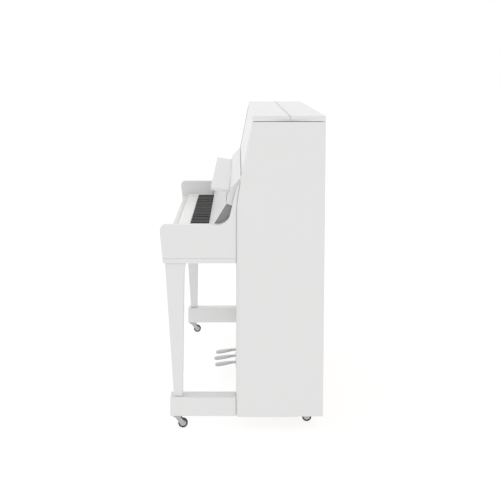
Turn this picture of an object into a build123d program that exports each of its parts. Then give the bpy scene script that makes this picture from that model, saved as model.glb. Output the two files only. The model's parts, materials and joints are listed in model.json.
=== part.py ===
from build123d import *
import math
import os

# Upright piano with its keyboard open. Millimetres. The origin is on the floor under the middle of the
# case. +X points to the treble end, -Y to the player and +Z up.

# Case
WIDTH = 1530.0
DEPTH = 620.0
HEIGHT = 1210.0
FRONT = -DEPTH / 2
BACK = DEPTH / 2
FLOOR_GAP = 57.0
SIDE_THICK = 35.0
SIDE_INNER = WIDTH / 2 - SIDE_THICK
SIDE_TOP = 1188.0
SIDE_FRONT = -23.0
BEND_Z = 884.0
BEND_RADIUS = 600.0
SIDE_ROUND = 18.0
HEEL_Y = 215.0
HEEL_RISE = 2.5
PANEL_THICK = 18.0
FIT = 1.0

# Lid
LID_FRONT = 37.0
LID_GAP = 2.0
LID_THICK = HEIGHT - SIDE_TOP - LID_GAP
LID_SPLIT = 177.5
HINGE_RADIUS = 1.9
HINGE_AXIS_Z = HEIGHT + 0.6
HINGE_KNUCKLES = 18
LID_SEAM = 0.5
LEAF_THICK = 1.2

# Arms, key bed and legs
ARM_OUTER = WIDTH / 2 - 10.0
ARM_THICK = 40.0
ARM_INNER = ARM_OUTER - ARM_THICK
ARM_TOP = 800.0
BED_BOTTOM = 654.0
BED_TOP = 689.0
TOE_TOP = 132.0
TOE_FRONT = -276.0

# Keyboard
OCTAVE = 165.0
WHITE_PITCH = OCTAVE / 7
WHITE_COUNT = 52
KEYS_LEFT = -WHITE_COUNT * WHITE_PITCH / 2
LOW_SLOT = 3 * WHITE_PITCH / 5
HIGH_SLOT = 4 * WHITE_PITCH / 7
KEY_FRONT = -269.0
HEAD_REAR = -219.0
CAP_REAR = -131.0
KEY_REAR = 95.0
KEY_BOTTOM = 711.0
WHITE_TOP = 733.0
BLACK_TOP = 745.0
STICK_TOP = 722.0
BLACK_FRONT = HEAD_REAR + 1.5
KEY_BLOCK_TOP = 735.0
KEY_REST = KEY_BOTTOM - 0.4
BALANCE_Y = -50.0
KEY_GAP = 0.5
BLACK_HALF = 5.5

# Fallboard, drawn open
FALL_HALF = ARM_INNER - 3.5
FALL_PIVOT = (-104.9, 787.0)
FALL_LOW = (-134.0, 753.0)
FALL_FOLD = (-60.0, 875.0)
FALL_THICK = 20.0
BRACKET_DEPTH = 33.0
FRONT_BEVEL = (-42.0, 938.0)
FRONT_TIP = (-6.0, 973.0)
FRONT_THICK = 26.0
SHELF_HALF = 640.0
SHELF_THICK = 12.0
SHELF_DEPTH = 72.0
SHELF_RISE = 10.0
BEAD = 2.0
COVE = BEAD + 0.3

# Strung back
POST_X = (-690.0, -345.0, 0.0, 345.0, 690.0)
BEAM_FRONT = 244.0
BACK_FACE = 308.0
STRING_Y = 194.0
STRUT_X = (-240.0, 190.0, 430.0)
STRUT_HALF = 9.0
PLATE_FACE = 201.0
PIN_RADIUS = 3.2
RIB_COUNT = 9
STEEL_COUNT = 60
STEEL_PITCH = 14.6
STRETCH = 1.053
LONGEST = 760.0
COPPER_COUNT = 28
COPPER_PITCH = 13.6

# Action
NOTES = 88
NOTE_PITCH = 13.74
HAMMER_PIVOT = (122.0, 865.0)
DAMPER_PIVOT = (153.0, 816.0)
CENTRE_PIN = 1.9

# Pedals and casters
PEDAL_X = {"left": -100.0, "middle": 0.0, "right": 100.0}
PEDAL_PIVOT = (6.0, 77.5)
PEDAL_TOP = 82.0
PEDAL_THICK = 9.0
SLOT_LOW = 64.0
BOARD_TOP = 68.0
PEDAL_REAR = 132.0
ROD_Y = 125.0
CASTERS = {
    "front_left": (-715.0, -252.0),
    "front_right": (715.0, -252.0),
    "rear_left": (-644.0, 233.0),
    "rear_right": (644.0, 233.0),
}
WHEEL_RADIUS = 18.5
WHEEL_HALF = 8.0
CASTER_TRAIL = 23.0


def block(x, y, z):
    """Box between the two limits given along each axis."""
    middle = Pos((x[0] + x[1]) / 2, (y[0] + y[1]) / 2, (z[0] + z[1]) / 2)
    return middle * Box(x[1] - x[0], y[1] - y[0], z[1] - z[0])


def across(edges, x0, x1):
    """Solid with an outline in the Y-Z plane, running from x0 to x1."""
    face = Plane.YZ.offset(x0) * make_face(edges)
    return extrude(face, x1 - x0, dir=(1, 0, 0))


def along(edges, y0, y1):
    """Solid with an outline in the X-Z plane, running from y0 to y1."""
    plane = Plane(origin=(0, y0, 0), x_dir=(1, 0, 0), z_dir=(0, -1, 0))
    return extrude(plane * make_face(edges), y1 - y0, dir=(0, 1, 0))


def polygon(*points):
    """Closed outline with straight sides."""
    return Polyline(*points, close=True)


def bar(start, end, radius):
    """Round bar from one point to another."""
    run = Vector(*end) - Vector(*start)
    ends = (Align.CENTER, Align.CENTER, Align.MIN)
    return Plane(origin=start, z_dir=run) * Cylinder(radius, run.length, align=ends)


def cross_pin(x0, x1, point, radius):
    """Round bar along X through a point given as (y, z)."""
    return bar((x0, *point), (x1, *point), radius)


def ordered(a, b):
    """The two values, lowest first."""
    return (min(a, b), max(a, b))


def step(point, degrees, length):
    """The (y, z) point at a distance from another, in a direction measured up from +Y."""
    angle = math.radians(degrees)
    return (point[0] + length * math.cos(angle), point[1] + length * math.sin(angle))


def heading(start, end):
    """Direction from one (y, z) point to another, in degrees up from +Y."""
    return math.degrees(math.atan2(end[1] - start[1], end[0] - start[0]))


def save(name, *shapes):
    """Write the solids of one sub-part to its file."""
    solids = [solid for shape in shapes for solid in shape.solids()]
    export_step(Compound(solids), f"parts/{name}.step")


def front_at(z):
    """Y of the case's front edge at a height above the bend."""
    return SIDE_FRONT + (z - BEND_Z) * (LID_FRONT - SIDE_FRONT) / (SIDE_TOP - BEND_Z)


def case_front(setback, z0, z1):
    """Front edge seen from the side: upright, then leaning back, moved in by a setback."""
    foot = (SIDE_FRONT + setback, z0)
    bend = (SIDE_FRONT + setback, BEND_Z)
    head = (front_at(z1) + setback, z1)
    return FilletPolyline(foot, bend, head, radius=BEND_RADIUS)


def case_profile(x0, x1):
    """The side panel's outline, filled from x0 to x1."""
    rest = Polyline((LID_FRONT, SIDE_TOP), (BACK, SIDE_TOP), (BACK, FLOOR_GAP), (SIDE_FRONT, FLOOR_GAP))
    return across([case_front(0, FLOOR_GAP, SIDE_TOP), rest], x0, x1)


# ---------------------------------------------------------------- case


def side_panel(hand):
    x0, x1 = ordered(hand * SIDE_INNER, hand * WIDTH / 2)
    panel = case_profile(x0, x1)
    panel -= block((x0 - FIT, x1 + FIT), (HEEL_Y, BACK + FIT), (FLOOR_GAP - FIT, FLOOR_GAP + HEEL_RISE))
    on_outside = panel.faces().sort_by(Axis.X)[-1 if hand > 0 else 0]
    front_edges = [edge for edge in on_outside.edges() if edge.center().Y < LID_FRONT + FIT]
    front_edges = [edge for edge in front_edges if edge.center().Z > FLOOR_GAP + FIT]
    return fillet(front_edges, SIDE_ROUND)


def arm(hand):
    x0, x1 = ordered(hand * ARM_INNER, hand * ARM_OUTER)
    outline = FilletPolyline(
        (0, BED_BOTTOM),
        (-299, BED_BOTTOM),
        (FRONT, 775),
        (FRONT, ARM_TOP),
        (-54, ARM_TOP),
        (-23, 932),
        (4, 985),
        radius=[4, 100, 20, 50, 120],
    )
    rest = Polyline((4, 985), (30, 985), (30, BED_BOTTOM), (0, BED_BOTTOM))
    cheek = across([outline, rest], x0, x1) - case_profile(x0 - FIT, x1 + FIT)
    groove_x = ordered(hand * (ARM_OUTER - 1.5), hand * (ARM_OUTER + FIT))
    groove = block(groove_x, (FRONT - FIT, SIDE_FRONT), (671, 673))
    pin_x = hand * (ARM_INNER - FIT)
    pin_hole = cross_pin(pin_x, hand * (ARM_INNER + 9), FALL_PIVOT, 4.05)
    return cheek - groove - pin_hole


def front_panels():
    outer = case_front(3, 800, SIDE_TOP - 4)
    inner = case_front(3 + PANEL_THICK, 800, SIDE_TOP - 4)
    top_y = front_at(SIDE_TOP - 4) + 3
    top = Line((top_y, SIDE_TOP - 4), (top_y + PANEL_THICK, SIDE_TOP - 4))
    foot = Line((SIDE_FRONT + 3, 800), (SIDE_FRONT + 3 + PANEL_THICK, 800))
    half = SIDE_INNER - FIT
    save("upper_front_panel", across([outer, top, inner, foot], -half, half))
    lower_y = (SIDE_FRONT + 1, SIDE_FRONT + 1 + PANEL_THICK)
    save("lower_front_panel", block((-half, half), lower_y, (108, 652)))
    save("fallboard_rail", block((-FALL_HALF, FALL_HALF), (-56, -20.5), (779, 799)))


def lid():
    half = WIDTH / 2
    z = (HEIGHT - LID_THICK, HEIGHT)
    groove = cross_pin(-half - FIT, half + FIT, (LID_SPLIT, HINGE_AXIS_Z), HINGE_RADIUS + 0.5)
    reach = LID_SEAM + LEAF_THICK + 0.1
    mortise = block((-half + 0.8, half - 0.8), (LID_SPLIT - reach, LID_SPLIT + reach), (z[0] + 2.8, HEIGHT))
    save("lid_front", block((-half, half), (LID_FRONT + 1, LID_SPLIT - LID_SEAM), z) - groove - mortise)
    save("lid_rear", block((-half, half), (LID_SPLIT + LID_SEAM, BACK), z) - groove - mortise)
    lid_hinge(half - 1, z[0] + 3)
    buttons = []
    for x in (-WIDTH / 2 + 15, WIDTH / 2 - 15):
        for y in (60, 150, 205, 290):
            buttons.append(bar((x, y, SIDE_TOP), (x, y, SIDE_TOP + LID_GAP), 6))
    save("lid_buttons", *buttons)


def lid_hinge(half, leaf_bottom):
    """Continuous hinge with its leaves let into the boards' edges and alternate knuckles round one pin."""
    axis_point = (LID_SPLIT, HINGE_AXIS_Z)
    leaf_top = HINGE_AXIS_Z - HINGE_RADIUS - 0.4
    pitch = 2 * half / HINGE_KNUCKLES
    bore = cross_pin(-half - 1, half + 1, axis_point, 0.95)
    for first, (name, hand) in enumerate((("fixed", 1), ("moving", -1))):
        y = ordered(LID_SPLIT + hand * LID_SEAM, LID_SPLIT + hand * (LID_SEAM + LEAF_THICK))
        leaf = block((-half, half), y, (leaf_bottom, leaf_top))
        for index in range(first, HINGE_KNUCKLES, 2):
            x = (-half + index * pitch + 0.25, -half + (index + 1) * pitch - 0.25)
            leaf += block(x, y, (leaf_top, HINGE_AXIS_Z)) + cross_pin(*x, axis_point, HINGE_RADIUS)
        parts = [leaf - bore]
        if name == "fixed":
            parts.append(cross_pin(0.2 - half, half - 0.2, axis_point, 0.9))
        save(f"lid_hinge_{name}_leaf", *parts)


def leg(hand):
    side_view = [
        Line((-292, BED_BOTTOM), (-262, TOE_TOP)),
        Line((-262, TOE_TOP), (-228, TOE_TOP)),
        Line((-228, TOE_TOP), (-220, 600)),
        TangentArc((-220, 600), (-212, BED_BOTTOM), tangent=(8, 468)),
        Line((-212, BED_BOTTOM), (-292, BED_BOTTOM)),
    ]
    body = across(side_view, *ordered(hand * 685, hand * ARM_OUTER))
    front_view = polygon((hand * 750, 655), (hand * 690, 655), (hand * 702, 131), (hand * 742, 131))
    return body & along(front_view, -300, -200)


def stand():
    for name, hand in (("left", -1), ("right", 1)):
        save(f"side_panel_{name}", side_panel(hand))
        save(f"arm_{name}", arm(hand))
        save(f"leg_{name}", leg(hand))
        toe = block(ordered(hand * 680, hand * ARM_OUTER), (TOE_FRONT, SIDE_FRONT), (FLOOR_GAP, TOE_TOP))
        save(f"toe_block_{name}", toe)


def key_bed():
    half = ARM_INNER - 0.5
    bed = block((-half, half), (-271.6, 108), (BED_BOTTOM, BED_TOP))
    under_panel = block((-half - FIT, half + FIT), (-22.5, 108), (BED_BOTTOM - FIT, BED_BOTTOM + FIT))
    save("key_bed", bed - under_panel)
    slip = block((-half, half), (-296, -272), (656, 722))
    save("key_slip", slip)
    blocks = []
    for hand in (-1, 1):
        x = ordered(hand * (abs(KEYS_LEFT) + 1.5), hand * half)
        blocks.append(block(x, (-271, -138), (BED_TOP, KEY_BLOCK_TOP)))
    save("key_blocks", *blocks)
    keys_half = abs(KEYS_LEFT)
    x = (-keys_half, keys_half)
    balance_rail = block(x, (BALANCE_Y - 10, BALANCE_Y + 10), (BED_TOP, 704))
    balance_strip = block(x, (BALANCE_Y - 4, BALANCE_Y + 4), (704, KEY_REST))
    front_rail = block(x, (-262, -235), (BED_TOP, 698.5))
    back_rail = block(x, (70, 100), (BED_TOP, KEY_REST))
    save("key_frame", balance_rail, balance_strip, front_rail, back_rail)


# ---------------------------------------------------------------- keys

WHITE_STEPS = {0: 0, 2: 1, 4: 2, 5: 3, 7: 4, 9: 5, 11: 6}


def slot_left(tone):
    """Left edge of a key's tail within its octave."""
    if tone < 5:
        return tone * LOW_SLOT
    return 3 * WHITE_PITCH + (tone - 5) * HIGH_SLOT


def white_key(start, tone, left_end, right_end):
    """One white key; the end keys have full-width tails on their outer side."""
    head = start + WHITE_STEPS[tone] * WHITE_PITCH
    head_x = (head + KEY_GAP, head + WHITE_PITCH - KEY_GAP)
    tail_left = head_x[0] if left_end else start + slot_left(tone) + KEY_GAP
    tail_right = head_x[1] if right_end else start + slot_left(tone + 1) - KEY_GAP
    tail_x = (tail_left, tail_right)
    key = block(head_x, (KEY_FRONT, HEAD_REAR), (KEY_BOTTOM, WHITE_TOP))
    key += block(tail_x, (HEAD_REAR, CAP_REAR), (KEY_BOTTOM, WHITE_TOP))
    key += block(tail_x, (CAP_REAR, KEY_REAR), (KEY_BOTTOM, STICK_TOP))
    under_lip = (KEY_BOTTOM - 1, WHITE_TOP - 3)
    return key - block((head_x[0] - 1, head_x[1] + 1), (KEY_FRONT - 1, KEY_FRONT + 1.5), under_lip)


def black_shape():
    """One black key about x = 0: a tapered cap on its stick."""
    base = WHITE_TOP - 2
    top = BLACK_HALF - 0.9
    ends = polygon((-BLACK_HALF, base), (BLACK_HALF, base), (top, BLACK_TOP), (-top, BLACK_TOP))
    nose = polygon((BLACK_FRONT, base), (CAP_REAR, base), (CAP_REAR, BLACK_TOP), (BLACK_FRONT + 5, BLACK_TOP))
    cap = along(ends, BLACK_FRONT, CAP_REAR) & across(nose, -BLACK_HALF, BLACK_HALF)
    x = (-BLACK_HALF, BLACK_HALF)
    stick = block(x, (BLACK_FRONT, CAP_REAR), (KEY_BOTTOM, base))
    tail = block(x, (CAP_REAR, KEY_REAR), (KEY_BOTTOM, STICK_TOP))
    return cap + stick + tail


def keys():
    single = {0: "key_c4", 1: "key_c_sharp4", 2: "key_d4", 3: "key_d_sharp4", 4: "key_e4"}
    groups = {"white_keys_bass": [], "white_keys_treble": [], "black_keys_bass": [], "black_keys_treble": []}
    black = black_shape()
    for note in range(9, 97):
        octave, tone = divmod(note, 12)
        start = KEYS_LEFT + (2 + 7 * (octave - 1)) * WHITE_PITCH
        if tone in WHITE_STEPS:
            key = white_key(start, tone, note == 9, note == 96)
            colour = "white"
        else:
            middle = start + (slot_left(tone) + slot_left(tone + 1)) / 2
            key = Pos(middle, 0, 0) * black
            colour = "black"
        if octave == 4 and tone in single:
            save(single[tone], key)
            continue
        end = "bass" if octave < 4 else "treble"
        groups[f"{colour}_keys_{end}"].append(key)
    for name, members in groups.items():
        save(name, *members)


# ---------------------------------------------------------------- fallboard


def fallboard():
    main_way = heading(FALL_LOW, FALL_FOLD)
    back_low = (FALL_LOW[0] + FALL_THICK / math.sin(math.radians(main_way)), FALL_LOW[1])
    front_way = heading(FALL_FOLD, FRONT_BEVEL)
    mitre = (main_way + front_way) / 2 - 90
    main_fold = step(FALL_FOLD, mitre - 2, FALL_THICK)
    main_corner = step(FALL_FOLD, main_way - 180, 0.6)
    main_fold = step(main_fold, main_way - 180, 0.6)
    main = across(polygon(FALL_LOW, main_corner, main_fold, back_low), -FALL_HALF, FALL_HALF)
    main += cross_pin(-FALL_HALF, FALL_HALF, FALL_FOLD, BEAD)
    save("fallboard_main", main)

    brackets = []
    plate_fold = step(main_corner, mitre - 2, BRACKET_DEPTH)
    plate_low = step(FALL_LOW, main_way - 90, BRACKET_DEPTH)
    for hand in (-1, 1):
        x = ordered(hand * FALL_HALF, hand * (FALL_HALF + 2))
        plate = across(polygon(FALL_LOW, main_corner, plate_fold, plate_low), *x)
        pin = cross_pin(hand * (FALL_HALF + 2), hand * (ARM_INNER + 8), FALL_PIVOT, 4)
        brackets.append(plate + pin)
    save("fallboard_end_brackets", *brackets)

    back_tip = step(FRONT_TIP, front_way - 90, 2)
    back_top = step(step(FRONT_BEVEL, front_way - 90, FRONT_THICK), front_way, 24)
    front_start = step(FALL_FOLD, front_way, 0.3)
    back_start = step(step(FALL_FOLD, mitre, FRONT_THICK), mitre + 90, 0.8)
    outline = polygon(front_start, FRONT_BEVEL, FRONT_TIP, back_tip, back_top, back_start)
    front = across(outline, -FALL_HALF, FALL_HALF)
    front -= cross_pin(-FALL_HALF - FIT, FALL_HALF + FIT, FALL_FOLD, COVE)

    foot = step(step(FALL_FOLD, front_way, 34), front_way + 90, 0.4)
    way = 180 - SHELF_RISE
    tip = step(foot, way, SHELF_DEPTH)
    top_tip = step(tip, way - 90, SHELF_THICK)
    top_foot = step(foot, front_way, SHELF_THICK / math.cos(math.radians(way - 90 - front_way)))
    shelf = across(polygon(foot, tip, top_tip, top_foot), -SHELF_HALF, SHELF_HALF)
    save("music_shelf", shelf + cross_pin(-SHELF_HALF, SHELF_HALF, top_foot, BEAD))
    save("fallboard_front", front - cross_pin(-SHELF_HALF - FIT, SHELF_HALF + FIT, top_foot, COVE))


# ---------------------------------------------------------------- strung back and action


def back():
    beams = [
        block((-728, 728), (BEAM_FRONT, BACK_FACE), (FLOOR_GAP, 160)),
        block((-728, 728), (BEAM_FRONT, BACK_FACE), (1080, 1180)),
        block((-700, 700), (213, BEAM_FRONT), (1030, 1160)),
    ]
    posts = [block((x - 36, x + 36), (262, BACK_FACE), (160, 1080)) for x in POST_X]
    save("back_frame", *beams, *posts)

    board = block((-715, 715), (236, BEAM_FRONT), (120, 1028))
    ribs = []
    for index in range(RIB_COUNT):
        low = (-640 + index * 140, 180)
        high = (low[0] + 330, 1010)
        limit = min(1.0, (690 - low[0]) / (high[0] - low[0]))
        end = (low[0] + limit * (high[0] - low[0]), low[1] + limit * (high[1] - low[1]))
        ribs.append(along(polygon(low, end, (end[0] + 24, end[1]), (low[0] + 24, low[1])), BEAM_FRONT, 260))
    treble_bridge = FilletPolyline((-330, 300), (80, 420), (420, 760), (640, 960), radius=300)
    treble_upper = FilletPolyline((-340, 330), (65, 450), (395, 785), (620, 985), radius=300)
    joins = [Line((-330, 300), (-340, 330)), Line((640, 960), (620, 985))]
    treble = along([treble_bridge, treble_upper, *joins], 197, 236)
    bass = along(polygon((-330, 225), (60, 205), (62, 235), (-328, 255)), 192, 236)
    save("soundboard", board, *ribs, treble, bass)

    depth = (PLATE_FACE, PLATE_FACE + 12)
    web = block((-700, 700), depth, (1000, 1160))
    foot = block((-700, 700), depth, (125, 180))
    sides = [block(x, depth, (180, 1000)) for x in ((-700, -665), (665, 700))]
    struts = []
    for middle in STRUT_X:
        x = (middle - STRUT_HALF, middle + STRUT_HALF)
        strut = block(x, (170, 186), (125, 1160))
        for z in ((125, 150), (1135, 1160)):
            strut += block(x, (186, PLATE_FACE), z)
        struts.append(strut)
    plate = web + foot + sides + struts
    save("iron_plate", plate)


def to_strut(x):
    """Distance from x to the middle of the nearest strut of the iron plate."""
    return min(abs(x - middle) for middle in STRUT_X)


def strings():
    """Tuning pins with steel strings in the treble, and copper-wound strings crossing over in the bass."""
    steel = []
    for index in range(STEEL_COUNT):
        x = 640 - index * STEEL_PITCH
        if to_strut(x) < STRUT_HALF + 4:
            continue
        length = min(55 * STRETCH**index, LONGEST)
        foot = (x - 0.08 * length, STRING_Y, 1040 - length)
        steel.append(bar((x, STRING_Y, 1085), foot, 0.6))
        steel.append(bar((x, STRING_Y - 9, 1088), (x, PLATE_FACE, 1088), PIN_RADIUS))
    copper = []
    for index in range(COPPER_COUNT):
        x = -640 + index * COPPER_PITCH
        if to_strut(x) < STRUT_HALF + 5:
            continue
        over = STRING_Y - 4.5
        copper.append(bar((x, over, 1085), (x + 300, over, 250), 1.8 - index * 0.03))
        steel.append(bar((x, over - 7.5, 1120), (x, PLATE_FACE, 1120), PIN_RADIUS))
    save("strings_steel", *steel)
    save("strings_copper", *copper)


def action():
    frame = block((-620, 620), (70, 95), (1000, 1020))
    frame += block((-620, 620), (98, 116), (800, 845))
    frame += block((-620, 620), (98, 116), (960, 985))
    for x, foot in ((-620, BED_TOP), (-215, 740), (215, 740), (620, BED_TOP)):
        frame += block((x - 5, x + 5), (60, 100), (foot, 1040))
    for x in (-620, 620):
        frame += block((x - 5, x + 5), (100, 160), (806, 875))
    for pivot in (HAMMER_PIVOT, DAMPER_PIVOT):
        frame += cross_pin(-620, 620, pivot, CENTRE_PIN)
    save("action_frame", frame)

    hammer_bore = cross_pin(-601, 601, HAMMER_PIVOT, CENTRE_PIN + 0.1)
    damper_bore = cross_pin(-601, 601, DAMPER_PIVOT, CENTRE_PIN + 0.1)
    hammers = [block((-600, 600), (117, 127), (860, 874)) - hammer_bore]
    dampers = [block((-600, 600), (149, 157), (812, 820)) - damper_bore]
    for index in range(NOTES):
        x = -598 + index * NOTE_PITCH
        shank = block((x - 1.5, x + 1.5), (119, 123), (874, 1000))
        head = along(polygon((x - 5, 1000), (x + 5, 1000), (x + 5, 1024), (x - 5, 1024)), 120, 152)
        hammers.append(shank + head)
        wire = block((x - 1, x + 1), (151, 153), (820, 930))
        felt = block((x - 5, x + 5), (151, 187), (905, 950))
        if to_strut(x) > STRUT_HALF + 6:
            dampers.append(wire + felt)
    save("hammers", *hammers)
    save("dampers", *dampers)
    cloth = block((-600, 600), (167, 169), (1036, 1076))
    rail = block((-600, 600), (161, 167), (1062, 1076))
    save("muffler_rail", rail + cloth)


# ---------------------------------------------------------------- pedals


def pedal(x, tip):
    """Lever with a flat neck that drops to a wide rounded toe."""
    low = PEDAL_TOP - PEDAL_THICK
    side_view = [
        Polyline((-22, PEDAL_TOP), (PEDAL_REAR, PEDAL_TOP), (PEDAL_REAR, low), (-22, low)),
        Bezier((-22, low), (-50, low), (-72, 64), (tip, 61)),
        Line((tip, 61), (tip, 69)),
        Bezier((tip, 69), (-74, 74), (-54, PEDAL_TOP), (-22, PEDAL_TOP)),
    ]
    widest = tip + 20
    plan = []
    for hand in (-1, 1):
        plan.append(Line((hand * 7, PEDAL_REAR), (hand * 7, -28)))
        plan.append(Bezier((hand * 7, -28), (hand * 7, -60), (hand * 17.5, -62), (hand * 17.5, widest)))
    plan.append(ThreePointArc((-17.5, widest), (0, tip), (17.5, widest)))
    plan.append(Line((-7, PEDAL_REAR), (7, PEDAL_REAR)))
    flat = extrude(Plane.XY.offset(40) * make_face(plan), 60, dir=(0, 0, 1))
    lever = across(side_view, -25, 25) & flat
    pivot = cross_pin(-22, 22, PEDAL_PIVOT, 3)
    return Pos(x, 0, 0) * (lever + pivot)


def pedals():
    plate = block((-130, 130), (-25, -22), (SLOT_LOW - 4, PEDAL_TOP + 8))
    brackets = []
    for name, x in PEDAL_X.items():
        save(f"pedal_{name}", pedal(x, -123 if name == "middle" else -117))
        plate -= block((x - 10, x + 10), (-26, -21), (SLOT_LOW, PEDAL_TOP + 3.5))
        for hand in (-1, 1):
            cheek = block(ordered(x + hand * 9, x + hand * 19), (-1.5, 14), (BOARD_TOP, PEDAL_TOP + 6))
            bore = cross_pin(x - 30, x + 30, PEDAL_PIVOT, 3.05)
            brackets.append(cheek - bore)
        rod = bar((x, ROD_Y, PEDAL_TOP + 1), (x, ROD_Y, 795), 5)
        save(f"pedal_rod_{name}", rod)
    save("pedal_plate", plate, *brackets)
    save("bottom_board", block((-729, 729), (-2, 242), (FLOOR_GAP, BOARD_TOP)))
    rail = block((-729, 729), (-22, -2), (FLOOR_GAP, 106))
    rail -= block((-124, 124), (-23, -1), (SLOT_LOW, PEDAL_TOP + 9))
    save("bottom_rail", rail)


# ---------------------------------------------------------------- casters


def casters():
    plates = []
    for name, (x, y) in CASTERS.items():
        plate = block((x - 24, x + 24), (y - 24, y + 24), (FLOOR_GAP - 3, FLOOR_GAP))
        raceway = bar((x, y, 49.5), (x, y, 54), 15)
        kingpin = bar((x, y, 41), (x, y, 49.5), 4)
        plates.append(plate + raceway + kingpin)
        axle = (y + CASTER_TRAIL, WHEEL_RADIUS)
        fork = bar((x, y, 44), (x, y, 49.2), 17) - bar((x, y, 43), (x, y, 50), 4.06)
        for hand in (-1, 1):
            cheek_x = ordered(x + hand * (WHEEL_HALF + 1), x + hand * (WHEEL_HALF + 3.5))
            foot = [(axle[0] + 8, 24), (axle[0] + 5, 11), (axle[0] - 6, 11)]
            fork += across(polygon((y - 8, 44), (y + 14, 44), *foot), *cheek_x)
        fork += cross_pin(x - WHEEL_HALF - 5, x + WHEEL_HALF + 5, axle, 3)
        save(f"caster_fork_{name}", fork)
        tread = cross_pin(x - WHEEL_HALF, x + WHEEL_HALF, axle, WHEEL_RADIUS)
        wheel = chamfer(tread.edges(), 1.2) - cross_pin(x - 20, x + 20, axle, 3.05)
        save(f"caster_wheel_{name}", wheel)
    save("caster_plates", *plates)


os.makedirs("parts", exist_ok=True)
stand()
front_panels()
lid()
key_bed()
keys()
fallboard()
back()
strings()
action()
pedals()
casters()
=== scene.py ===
import json
import math

import bmesh
import bpy
from mathutils import Matrix, Vector


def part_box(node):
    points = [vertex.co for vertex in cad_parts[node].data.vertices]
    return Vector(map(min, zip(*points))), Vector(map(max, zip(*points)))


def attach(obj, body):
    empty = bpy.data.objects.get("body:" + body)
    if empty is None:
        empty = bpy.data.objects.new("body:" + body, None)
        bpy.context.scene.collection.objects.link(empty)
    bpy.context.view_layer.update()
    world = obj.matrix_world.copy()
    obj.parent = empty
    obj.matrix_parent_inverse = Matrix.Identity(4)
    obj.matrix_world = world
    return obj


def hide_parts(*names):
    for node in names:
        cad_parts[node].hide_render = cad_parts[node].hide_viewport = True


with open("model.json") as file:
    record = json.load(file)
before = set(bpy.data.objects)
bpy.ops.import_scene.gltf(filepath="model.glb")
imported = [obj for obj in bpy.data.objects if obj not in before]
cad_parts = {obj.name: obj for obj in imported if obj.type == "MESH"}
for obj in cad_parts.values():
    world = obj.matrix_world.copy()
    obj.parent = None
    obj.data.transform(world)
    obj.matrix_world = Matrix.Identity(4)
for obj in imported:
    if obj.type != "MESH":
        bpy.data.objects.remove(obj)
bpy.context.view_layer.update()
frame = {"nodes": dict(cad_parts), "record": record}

# Upright piano. Everything is in metres and stands where the CAD frame puts it.

mm = 0.001

# ---------------------------------------------------------------- node helpers


class Shader:
    """A small builder for one material's node tree."""

    def __init__(self, name):
        self.material = bpy.data.materials.new(name)
        self.material.use_nodes = True
        self.nodes = self.material.node_tree.nodes
        self.links = self.material.node_tree.links
        self.surface = self.nodes["Principled BSDF"]

    def set(self, **values):
        for socket, value in values.items():
            self.surface.inputs[socket.replace("_", " ")].default_value = value
        return self

    def add(self, kind, inputs=None, **settings):
        node = self.nodes.new(kind)
        for key, value in settings.items():
            setattr(node, key, value)
        for key, value in (inputs or {}).items():
            if isinstance(value, bpy.types.NodeSocket):
                self.links.new(value, node.inputs[key])
            else:
                node.inputs[key].default_value = value
        return node

    def feed(self, socket, output):
        self.links.new(output, self.surface.inputs[socket])

    def place(self, scale=(1, 1, 1)):
        """Object coordinates, in metres, stretched by a scale."""
        coords = self.add("ShaderNodeTexCoord").outputs["Object"]
        return self.add("ShaderNodeMapping", {"Vector": coords, "Scale": scale}).outputs["Vector"]

    def noise(self, vector, scale, detail=2.0, roughness=0.5):
        values = {"Vector": vector, "Scale": scale, "Detail": detail, "Roughness": roughness}
        return self.add("ShaderNodeTexNoise", values).outputs["Fac"]

    def ramp(self, factor, low, high):
        """Blend between two colours, or two greys, along a factor."""
        node = self.add("ShaderNodeMix", {"Factor": factor}, data_type="RGBA")
        for name, value in (("A", low), ("B", high)):
            colour = (*value, 1) if len(value) == 3 else value
            socket = [item for item in node.inputs if item.name == name and item.type == "RGBA"][0]
            socket.default_value = colour
        return [item for item in node.outputs if item.type == "RGBA"][0]

    def spread(self, factor, low, high):
        """Map a 0 to 1 factor onto a range."""
        values = {"Value": factor, "To Min": low, "To Max": high}
        return self.add("ShaderNodeMapRange", values).outputs["Result"]

    def bump(self, height, strength, distance):
        values = {"Height": height, "Strength": strength, "Distance": distance}
        self.feed("Normal", self.add("ShaderNodeBump", values).outputs["Normal"])


def polished(name, colour, haze=0.30):
    """Polyester lacquer polished to a mirror gloss: faint waviness, very fine swirl marks."""
    made = Shader(name)
    where = made.place()
    tone = made.noise(where, 3.0, 3.0)
    darker = tuple(channel * 0.985 for channel in colour)
    made.feed("Base Color", made.ramp(tone, darker, colour))
    made.feed("Roughness", made.spread(made.noise(where, 38.0, 4.0), haze * 0.8, haze * 1.25))
    made.bump(made.noise(where, 9.0, 1.0), 0.08, 0.0006)
    made.set(IOR=1.42, Coat_Weight=0.08, Coat_Roughness=0.12)
    return made.material


def key_plastic(name, colour, roughness):
    """Moulded key covering: even colour, soft sheen and fine finger wear."""
    made = Shader(name)
    where = made.place()
    tone = made.noise(where, 14.0, 3.0)
    made.feed("Base Color", made.ramp(tone, tuple(channel * 0.96 for channel in colour), colour))
    made.feed("Roughness", made.spread(made.noise(where, 90.0, 4.0), roughness * 0.75, roughness * 1.35))
    made.bump(made.noise(where, 400.0, 2.0), 0.05, 0.0002)
    made.set(IOR=1.49)
    return made.material


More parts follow.
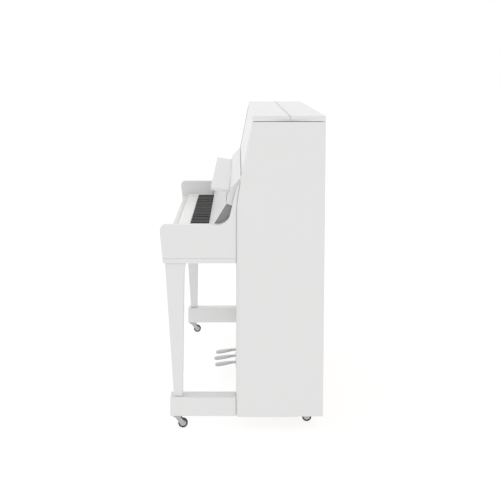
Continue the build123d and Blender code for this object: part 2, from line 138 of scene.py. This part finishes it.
def plated(name, colour, roughness, grain=(1, 1, 1), bump=0.04):
    """Plated or drawn metal with fine lines along its grain."""
    made = Shader(name)
    lines = made.noise(made.place(grain), 260.0, 3.0, 0.6)
    cloud = made.noise(made.place(), 22.0, 2.0)
    made.feed("Base Color", made.ramp(cloud, tuple(channel * 0.93 for channel in colour), colour))
    made.feed("Roughness", made.spread(lines, roughness * 0.6, roughness * 1.5))
    made.bump(lines, bump, 0.0002)
    made.set(Metallic=1.0)
    return made.material


def enamel(name, colour, roughness):
    """Stove enamel with a light orange peel."""
    made = Shader(name)
    where = made.place()
    made.feed("Base Color", made.ramp(made.noise(where, 30.0), tuple(c * 0.9 for c in colour), colour))
    made.feed("Roughness", made.spread(made.noise(where, 120.0), roughness * 0.8, roughness * 1.2))
    made.bump(made.noise(where, 700.0), 0.12, 0.0003)
    return made.material


def timber(name, dark, light, along, roughness):
    """Planed wood: long stretched grain along one axis, with pores and broad colour bands."""
    made = Shader(name)
    slim = [6.0 if axis == along else 90.0 for axis in "xyz"]
    broad = [0.8 if axis == along else 9.0 for axis in "xyz"]
    grain = made.noise(made.place(slim), 1.6, 6.0, 0.62)
    bands = made.noise(made.place(broad), 1.3, 3.0)
    streaks = made.add("ShaderNodeMath", {0: grain, 1: bands}, operation="MULTIPLY").outputs[0]
    wide = made.spread(streaks, -0.6, 2.4)
    made.feed("Base Color", made.ramp(wide, dark, light))
    made.feed("Roughness", made.spread(grain, roughness * 0.8, roughness * 1.25))
    made.bump(grain, 0.25, 0.0004)
    return made.material


def framed_timber(name, dark, light, low, high, roughness):
    """Frame wood: grain along X in the rails, under low and over high, and along Z in the posts."""
    made = Shader(name)
    grains = []
    for slim in ((90, 90, 6), (6, 90, 90)):
        fine = made.noise(made.place(slim), 1.6, 6.0, 0.62)
        broad = made.noise(made.place(tuple(size / 10 for size in slim)), 1.3, 3.0)
        grains.append(made.add("ShaderNodeMath", {0: fine, 1: broad}, operation="MULTIPLY").outputs[0])
    split = made.add("ShaderNodeSeparateXYZ", {"Vector": made.place()}).outputs["Z"]
    under = made.add("ShaderNodeMath", {0: split, 1: low}, operation="LESS_THAN").outputs[0]
    over = made.add("ShaderNodeMath", {0: split, 1: high}, operation="GREATER_THAN").outputs[0]
    rail = made.add("ShaderNodeMath", {0: under, 1: over}, operation="MAXIMUM").outputs[0]
    mixed = made.add("ShaderNodeMix", {"Factor": rail, "A": grains[0], "B": grains[1]}, data_type="FLOAT")
    grain = mixed.outputs["Result"]
    made.feed("Base Color", made.ramp(made.spread(grain, -0.6, 2.4), dark, light))
    made.feed("Roughness", made.spread(grain, roughness * 0.8, roughness * 1.25))
    made.bump(grain, 0.25, 0.0004)
    return made.material


def casting(name, colour):
    """Lacquered cast iron with a sandy skin."""
    made = Shader(name)
    where = made.place()
    made.feed("Base Color", made.ramp(made.noise(where, 18.0, 5.0), tuple(c * 0.75 for c in colour), colour))
    made.feed("Roughness", made.spread(made.noise(where, 60.0), 0.28, 0.5))
    made.bump(made.noise(where, 520.0, 5.0, 0.7), 0.35, 0.0005)
    made.set(Metallic=0.7)
    return made.material


def wool(name, colour):
    """Pressed felt: mottled, matt and fuzzy."""
    made = Shader(name)
    where = made.place()
    fibres = made.noise(where, 240.0, 5.0, 0.7)
    made.feed("Base Color", made.ramp(fibres, tuple(c * 0.7 for c in colour), colour))
    made.bump(made.noise(where, 1500.0, 4.0, 0.8), 0.7, 0.0008)
    made.set(Roughness=0.95, Sheen_Weight=0.5, Sheen_Roughness=0.5)
    return made.material


def rubbery(name, colour):
    """Dark moulded rubber or hard tread."""
    made = Shader(name)
    where = made.place()
    made.feed("Base Color", made.ramp(made.noise(where, 90.0, 3.0), tuple(c * 0.7 for c in colour), colour))
    made.feed("Roughness", made.spread(made.noise(where, 300.0, 3.0), 0.42, 0.68))
    made.bump(made.noise(where, 900.0, 3.0), 0.2, 0.0003)
    return made.material


white = (0.74, 0.74, 0.737)
materials = {
    "white_polish": polished("white_polish", white),
    "white_key": key_plastic("white_key", (0.86, 0.855, 0.83), 0.16),
    "black_key": key_plastic("black_key", (0.010, 0.010, 0.011), 0.32),
    # The fallboard's end brackets are drawn dark grey: partly their own grey enamel, partly painted shade
    # standing in for the shade that falls on the fallboard's ends.
    "grey_bracket": enamel("grey_bracket", (0.27, 0.27, 0.27), 0.45),
    "chrome": plated("chrome", (0.47, 0.47, 0.48), 0.14, bump=0.015),
    "caster_steel": plated("caster_steel", (0.50, 0.49, 0.49), 0.30),
    "wheel": rubbery("wheel", (0.045, 0.045, 0.048)),
    "hardwood": framed_timber("hardwood", (0.42, 0.26, 0.13), (0.74, 0.55, 0.34), 0.16, 1.08, 0.45),
    "spruce": timber("spruce", (0.55, 0.36, 0.17), (0.83, 0.66, 0.42), "x", 0.35),
    "gold_iron": casting("gold_iron", (0.62, 0.44, 0.17)),
    "action_metal": plated("action_metal", (0.62, 0.62, 0.64), 0.35, grain=(0.05, 1, 1)),
    "steel_wire": plated("steel_wire", (0.62, 0.62, 0.65), 0.22),
    "copper_wire": plated("copper_wire", (0.72, 0.34, 0.18), 0.28),
    "felt": wool("felt", (0.72, 0.69, 0.60)),
    "rod_wood": timber("rod_wood", (0.45, 0.28, 0.14), (0.75, 0.57, 0.36), "z", 0.5),
    "rubber": rubbery("rubber", (0.05, 0.05, 0.05)),
}

slot_of = {entry["node"]: entry["material_slot"] for entry in frame["record"]["subparts"]}
behaviour = frame["record"]["behaviour"]
body_of = {node: body for body, nodes in behaviour["bodies"].items() for node in nodes}

# ---------------------------------------------------------------- mesh helpers


def new_piece(name, mesh, body, slot, material=None):
    """Put a mesh in the scene as a piece of the object."""
    piece = bpy.data.objects.new(name, mesh)
    bpy.context.scene.collection.objects.link(piece)
    piece.data.materials.clear()
    piece.data.materials.append(material or materials[slot])
    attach(piece, body)
    return piece


def applied(mesh, *modifiers):
    """A mesh with modifiers, given as (kind, settings), applied to it."""
    holder = bpy.data.objects.new("holder", mesh)
    bpy.context.scene.collection.objects.link(holder)
    for kind, settings in modifiers:
        modifier = holder.modifiers.new(kind.lower(), kind)
        for key, value in settings.items():
            setattr(modifier, key, value)
    graph = bpy.context.evaluated_depsgraph_get()
    result = bpy.data.meshes.new_from_object(holder.evaluated_get(graph))
    bpy.data.objects.remove(holder)
    return result


def clean_copy(node, tolerance=0.02 * mm):
    """The node's mesh and its editable form, with doubled points merged and flat faces joined."""
    mesh = frame["nodes"][node].data.copy()
    shape = bmesh.new()
    shape.from_mesh(mesh)
    bmesh.ops.remove_doubles(shape, verts=shape.verts, dist=tolerance)
    bmesh.ops.dissolve_limit(shape, angle_limit=math.radians(1.0), verts=shape.verts, edges=shape.edges)
    return mesh, shape


def crisp_edges(mesh, shape, limit, left_alone):
    """Mark the edges to be rounded in the mesh, leaving those near a hinge line as they are."""
    weight = shape.edges.layers.float.new("bevel_weight_edge")
    for edge in shape.edges:
        if len(edge.link_faces) != 2 or edge.calc_face_angle() < limit:
            continue
        centre = (edge.verts[0].co + edge.verts[1].co) / 2
        if all(math.hypot(centre.y - y, centre.z - z) > reach for y, z, reach in left_alone):
            edge[weight] = 1.0
    shape.to_mesh(mesh)
    shape.free()


def soften(node, width, segments=3, angle=28.0):
    """Stand a copy with rounded edges in for a CAD node."""
    bevel = {
        "width": width,
        "segments": segments,
        "limit_method": "WEIGHT",
        "use_clamp_overlap": True,
        "miter_outer": "MITER_ARC",
    }
    mesh, shape = clean_copy(node)
    crisp_edges(mesh, shape, math.radians(angle), HINGE_LINES.get(node, ()))
    mesh = applied(mesh, ("BEVEL", bevel))
    mesh.shade_smooth()
    mesh = applied(mesh, ("WEIGHTED_NORMAL", {"keep_sharp": False, "weight": 100}))
    piece = new_piece(f"{node}_shape", mesh, body_of[node], slot_of[node])
    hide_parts(node)


def lathe(outline, steps=64):
    """Closed ring of faces from an outline of (radius, offset) points turned about X."""
    shape = bmesh.new()
    rings = []
    for index in range(steps):
        turn = 2 * math.pi * index / steps
        ring = [shape.verts.new((x, r * math.cos(turn), r * math.sin(turn))) for r, x in outline]
        rings.append(ring)
    count = len(outline)
    for index in range(steps):
        here = rings[index]
        there = rings[(index + 1) % steps]
        for k in range(count):
            shape.faces.new((here[k], here[(k + 1) % count], there[(k + 1) % count], there[k]))
    bmesh.ops.recalc_face_normals(shape, faces=shape.faces)
    mesh = bpy.data.meshes.new("lathe")
    shape.to_mesh(mesh)
    shape.free()
    mesh.shade_smooth()
    return mesh


# ---------------------------------------------------------------- case, keys and pedals

joint_place = {entry["name"]: entry["pos_m"] for entry in behaviour["joints"] if "pos_m" in entry}


def line_of(joint, reach):
    """A hinge's axis as (y, z), with the distance round it that stays crisp."""
    return (*joint_place[joint][1:], reach)


LEAF_REACH = 24 * mm
BEAD_REACH = 5 * mm
HINGE_LINES = {
    "lid_front": [line_of("lid_hinge", LEAF_REACH)],
    "lid_rear": [line_of("lid_hinge", LEAF_REACH)],
    "fallboard_main": [line_of("fallboard_fold", BEAD_REACH)],
    "fallboard_front": [line_of("fallboard_fold", BEAD_REACH), line_of("shelf_hinge", BEAD_REACH)],
    "music_shelf": [line_of("shelf_hinge", BEAD_REACH)],
}

# How far each board's edges are rounded, in millimetres.
ROUNDING = {
    "side_panel_left": 2.0,
    "side_panel_right": 2.0,
    "arm_left": 4.0,
    "arm_right": 4.0,
    "leg_left": 3.0,
    "leg_right": 3.0,
    "toe_block_left": 4.0,
    "toe_block_right": 4.0,
    "key_slip": 4.0,
    "key_blocks": 2.5,
    "key_bed": 2.0,
    "upper_front_panel": 1.5,
    "lower_front_panel": 2.5,
    "bottom_rail": 1.0,
    "lid_front": 3.0,
    "lid_rear": 3.0,
    "fallboard_main": 2.0,
    "fallboard_front": 3.0,
    "fallboard_rail": 1.5,
    "fallboard_end_brackets": 0.6,
    "music_shelf": 3.0,
    "back_frame": 2.5,
    "bottom_board": 1.5,
    "pedal_plate": 0.8,
}
for node, width in ROUNDING.items():
    soften(node, width * mm)

for node, slot in slot_of.items():
    if slot in ("white_key", "black_key"):
        soften(node, 0.8 * mm, segments=2)

for side in ("left", "middle", "right"):
    soften(f"pedal_{side}", 2.4 * mm, segments=4, angle=40)

for node, slot in slot_of.items():
    owner = frame["nodes"][node]
    owner.data.materials.clear()
    owner.data.materials.append(materials[slot])

# ---------------------------------------------------------------- small fittings


def screw_head(shape, centre, facing, radius, height):
    """Domed head with a cross-cut recess, added to a mesh; facing is the way it looks."""
    turn = Vector((0, 0, 1)).rotation_difference(Vector(facing)).to_matrix().to_4x4()
    frame_of = Matrix.Translation(centre) @ turn
    steps = 24
    levels = [(1.0, 0.0), (1.0, 0.25), (0.86, 0.7), (0.55, 0.95), (0.42, 1.0)]
    rings = []
    for share, rise in levels:
        ring = []
        for index in range(steps):
            angle = 2 * math.pi * index / steps
            reach = radius * share
            point = Vector((reach * math.cos(angle), reach * math.sin(angle), height * rise))
            ring.append(shape.verts.new(frame_of @ point))
        rings.append(ring)
    recess = []
    for index in range(steps):
        angle = 2 * math.pi * index / steps
        reach = radius * (0.36 if index % 6 in (0, 1, 5) else 0.14)
        point = Vector((reach * math.cos(angle), reach * math.sin(angle), height * 0.45))
        recess.append(shape.verts.new(frame_of @ point))
    rings.append(recess)
    for lower, upper in zip(rings, rings[1:]):
        for index in range(steps):
            following = (index + 1) % steps
            shape.faces.new((lower[index], lower[following], upper[following], upper[index]))
    shape.faces.new(recess)
    shape.faces.new(tuple(reversed(rings[0])))


def screws(name, places, facing, radius, height, body, slot, material):
    """A row of screw heads as one piece."""
    shape = bmesh.new()
    for place in places:
        screw_head(shape, place, facing, radius, height)
    mesh = bpy.data.meshes.new(name)
    shape.to_mesh(mesh)
    shape.free()
    return new_piece(name, mesh, body, slot, materials[material])


def strip(name, outline, x0, x1, body, slot, material, ease):
    """Long strip along X with the given (y, z) outline, drawn in a little at both ends."""
    shape = bmesh.new()
    middle_y = sum(y for y, z in outline) / len(outline)
    middle_z = sum(z for y, z in outline) / len(outline)
    rings = []
    for x, share in ((x0 + ease, 0.8), (x0 + 3 * ease, 1.0), (x1 - 3 * ease, 1.0), (x1 - ease, 0.8)):
        ring = []
        for y, z in outline:
            place = (x, middle_y + (y - middle_y) * share, middle_z + (z - middle_z) * share)
            ring.append(shape.verts.new(place))
        rings.append(ring)
    count = len(outline)
    for here, there in zip(rings, rings[1:]):
        for k in range(count):
            shape.faces.new((here[k], here[(k + 1) % count], there[(k + 1) % count], there[k]))
    shape.faces.new(rings[0])
    shape.faces.new(rings[-1])
    bmesh.ops.recalc_face_normals(shape, faces=shape.faces)
    mesh = bpy.data.meshes.new(name)
    shape.to_mesh(mesh)
    shape.free()
    return new_piece(name, mesh, body, slot, materials[material])


def pad(y, z, depth, height):
    """Outline of a flat pad with eased corners, from its low front corner."""
    ease = min(depth, height) * 0.3
    return [
        (y + ease, z),
        (y + depth - ease, z),
        (y + depth, z + ease),
        (y + depth, z + height - ease),
        (y + depth - ease, z + height),
        (y + ease, z + height),
        (y, z + height - ease),
        (y, z + ease),
    ]


PLATE_SCREW_X = (-120 * mm, -50 * mm, 50 * mm, 120 * mm)
plate_low, plate_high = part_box("pedal_plate")
plate_middle = (plate_low.z + plate_high.z) / 2
plate_screws = [(x, plate_low.y, plate_middle) for x in PLATE_SCREW_X]
screws("pedal_plate_screws", plate_screws, (0, -1, 0), 3.6 * mm, 1.8 * mm, "case", "chrome", "caster_steel")

POST_PITCH = 0.345
BOLT_HEIGHTS = (0.105, 1.115, 1.15)
frame_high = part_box("back_frame")[1]
bolts = [(POST_PITCH * post, frame_high.y, z) for post in range(-2, 3) for z in BOLT_HEIGHTS]
screws("back_frame_bolts", bolts, (0, 1, 0), 7.5 * mm, 2.0 * mm, "case", "caster_steel", "caster_steel")

FALLBOARD_FELT = 1.6 * mm
FELT_EASE = 1 * mm
felt_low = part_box("fallboard_main")[0]
felt_outline = pad(felt_low.y + 5 * mm, felt_low.z - FALLBOARD_FELT, 13 * mm, FALLBOARD_FELT)
strip("fallboard_felt", felt_outline, -0.62, 0.62, "fallboard", "felt", "felt", FELT_EASE)

slip_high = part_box("key_slip")[1]
slip_felt = pad(slip_high.y - 5 * mm, slip_high.z, 4 * mm, 1.2 * mm)
strip("key_slip_felt", slip_felt, -0.60, 0.60, "case", "felt", "felt", FELT_EASE)

BED_SCREW_X = (-0.66, -0.3, 0.0, 0.3, 0.66)
BED_SCREW_Y = (-0.22, -0.08)
bed_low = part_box("key_bed")[0]
bed_screws = [(x, y, bed_low.z) for x in BED_SCREW_X for y in BED_SCREW_Y]
screws("key_bed_screws", bed_screws, (0, 0, -1), 4.5 * mm, 1.6 * mm, "case", "caster_steel", "caster_steel")

# ---------------------------------------------------------------- casters


def caster_wheel(name):
    """Dark tread on a dished bright hub, bored for the axle."""
    node = f"caster_wheel_{name}"
    low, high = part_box(node)
    centre = (low + high) / 2
    radius = (high.z - low.z) / 2
    half = (high.x - low.x) / 2
    bore = 3.1 * mm
    tread = [
        (radius * 0.74, -half * 0.9),
        (radius * 0.90, -half),
        (radius * 0.97, -half * 0.86),
        (radius, -half * 0.5),
        (radius, half * 0.5),
        (radius * 0.97, half * 0.86),
        (radius * 0.90, half),
        (radius * 0.74, half * 0.9),
        (radius * 0.72, half * 0.6),
        (radius * 0.72, -half * 0.6),
    ]
    hub = [
        (bore, -half * 0.96),
        (radius * 0.28, -half * 0.96),
        (radius * 0.34, -half * 0.62),
        (radius * 0.56, -half * 0.50),
        (radius * 0.70, -half * 0.78),
        (radius * 0.71, -half * 0.4),
        (radius * 0.71, half * 0.4),
        (radius * 0.70, half * 0.78),
        (radius * 0.56, half * 0.50),
        (radius * 0.34, half * 0.62),
        (radius * 0.28, half * 0.96),
        (bore, half * 0.96),
    ]
    for part, outline, material in (("tread", tread, "wheel"), ("hub", hub, "caster_steel")):
        mesh = lathe(outline)
        mesh.transform(Matrix.Translation(centre))
        piece = new_piece(f"caster_{part}_{name}", mesh, body_of[node], "wheel", materials[material])
        if part == "tread":
            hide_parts(node)


for corner in ("front_left", "front_right", "rear_left", "rear_right"):
    caster_wheel(corner)
    soften(f"caster_fork_{corner}", 0.7 * mm, segments=2)

# ---------------------------------------------------------------- room, light and camera


def room():
    """Pale flat floor that reaches past the horizon."""
    reach = 60.0
    shape = bmesh.new()
    for x, y in ((-reach, -reach), (reach, -reach), (reach, reach), (-reach, reach)):
        shape.verts.new((x, y, 0.0))
    shape.faces.new(shape.verts)
    mesh = bpy.data.meshes.new("floor")
    shape.to_mesh(mesh)
    shape.free()
    floor = bpy.data.objects.new("floor", mesh)
    bpy.context.scene.collection.objects.link(floor)
    made = Shader("floor")
    made.set(Roughness=0.9, Emission_Color=(1, 1, 1, 1), Emission_Strength=0.87)
    cloud = made.noise(made.place(), 0.6)
    made.feed("Base Color", made.ramp(cloud, (0.12, 0.12, 0.12), (0.135, 0.135, 0.135)))
    floor.data.materials.append(made.material)


def soft_light(name, place, target, size, power):
    """Rectangular lamp at a place, turned towards its target."""
    lamp = bpy.data.lights.new(name, "AREA")
    lamp.shape = "RECTANGLE"
    lamp.size, lamp.size_y = size
    lamp.energy = power
    holder = bpy.data.objects.new(name, lamp)
    holder.location = place
    aim = Vector(target) - Vector(place)
    holder.rotation_euler = aim.to_track_quat("-Z", "Y").to_euler()
    bpy.context.scene.collection.objects.link(holder)


room()
soft_light("side_light", (4.5, -1.2, 3.2), (0.7, 0, 0.6), (3.0, 2.5), 5)
soft_light("front_light", (-0.5, -4.5, 2.6), (0, -0.1, 0.8), (4.0, 2.5), 10)
soft_light("top_light", (0, 0.4, 4.2), (0, 0, 0.9), (4.0, 3.0), 5)
soft_light("back_light", (0.5, 4.5, 2.2), (0, 0.2, 0.7), (4.0, 2.5), 14)

world = bpy.data.worlds.new("studio")
world.use_nodes = True
world.node_tree.nodes["Background"].inputs["Color"].default_value = (1, 1, 1, 1)
world.node_tree.nodes["Background"].inputs["Strength"].default_value = 1.0
bpy.context.scene.world = world
bpy.context.scene.view_settings.view_transform = "Standard"

CAMERA_PLACE = (4.537, -0.0174, 1.396)
CAMERA_DIP = math.radians(6.98)
camera = bpy.data.objects.new("camera", bpy.data.cameras.new("camera"))
camera.data.sensor_width = 36.0
camera.data.lens = 73.4
camera.data.shift_x = 0.025
camera.data.shift_y = -0.12
camera.location = CAMERA_PLACE
camera.rotation_euler = (math.pi / 2 - CAMERA_DIP, 0, math.pi / 2)
camera.data.clip_start = 0.05
bpy.context.scene.collection.objects.link(camera)
bpy.context.scene.camera = camera
